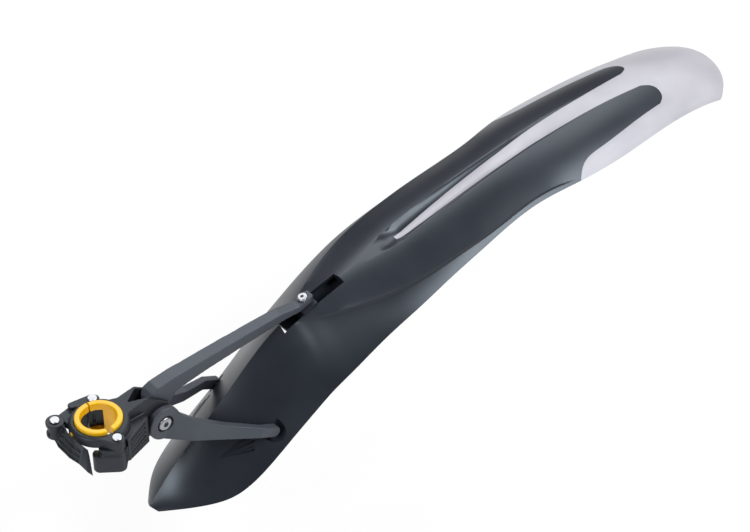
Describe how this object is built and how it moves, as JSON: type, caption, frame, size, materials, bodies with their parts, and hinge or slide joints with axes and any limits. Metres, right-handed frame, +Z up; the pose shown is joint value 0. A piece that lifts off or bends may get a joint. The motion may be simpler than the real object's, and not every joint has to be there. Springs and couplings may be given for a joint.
{
  "type": "bicycle mudguard",
  "caption": "Long ridged rear mudguard blade with a translucent tail, carried behind the seat post on a tilting arm bracket with a quick-release hinged clamp and rubber bush.",
  "frame": {"origin": "on the seat-post axis at half the height of the clamp", "axes": "+Z up along the seat post, +X rearwards along the mudguard, +Y to the bicycle's right"},
  "size_m": [0.6267, 0.1002, 0.1553],
  "materials": {
    "black_plastic": "satin",
    "translucent_plastic": "translucent satin",
    "yellow_rubber": "smooth",
    "steel": "bright"
  },
  "bodies": {
    "clamp": {"clamp_body": "black_plastic", "bush_rear": "yellow_rubber", "hinge_pin": "steel", "link_pin": "steel", "pivot_bolt": "steel", "pivot_nut": "steel"},
    "jaw": {"front_jaw": "black_plastic", "bush_front": "yellow_rubber"},
    "link": {"clasp_link": "black_plastic", "lever_pin": "steel"},
    "lever": {"quick_release_lever": "black_plastic"},
    "stays": {"side_arm_left": "black_plastic", "side_arm_right": "black_plastic", "socket_screws": "steel"},
    "guard": {"blade": "black_plastic", "tail_flap": "translucent_plastic"},
    "top_stay": {"top_arm": "black_plastic", "slot_bolt": "steel", "slot_slider": "black_plastic", "slot_nut_plate": "black_plastic"}
  },
  "joints": [
    {"name": "link_swing", "type": "hinge", "parent": "clamp", "child": "link", "pos_m": [0.00953, 0.02044, 0], "axis": [0, 0, -1], "range_deg": [0, 60]},
    {"name": "jaw_swing", "type": "hinge", "parent": "clamp", "child": "jaw", "pos_m": [-0.00166, -0.02369, 0], "axis": [0, 0, 1], "range_deg": [0, 27]},
    {"name": "lever_throw", "type": "hinge", "parent": "link", "child": "lever", "pos_m": [-0.02302, 0.01932, 0], "axis": [0, 0, -1], "range_deg": [0, 120]},
    {"name": "bracket_tilt", "type": "hinge", "parent": "clamp", "child": "stays", "pos_m": [0.045, 0, -0.0112], "axis": [0, -1, 0], "range_deg": [-10, 15]},
    {"name": "guard_pitch", "type": "hinge", "parent": "stays", "child": "guard", "pos_m": [0.1245, 0, -0.0532], "axis": [0, -1, 0], "range_deg": [-5, 5]},
    {"name": "top_stay_swing", "type": "hinge", "parent": "stays", "child": "top_stay", "pos_m": [0.045, 0, -0.0112], "axis": [0, -1, 0], "range_deg": [-3, 3]}
  ],
  "couplings": [
    {"joint": "jaw_swing", "follows": "link_swing", "ratio": 0.45},
    {"joint": "top_stay_swing", "follows": "guard_pitch", "ratio": 0.545}
  ]
}
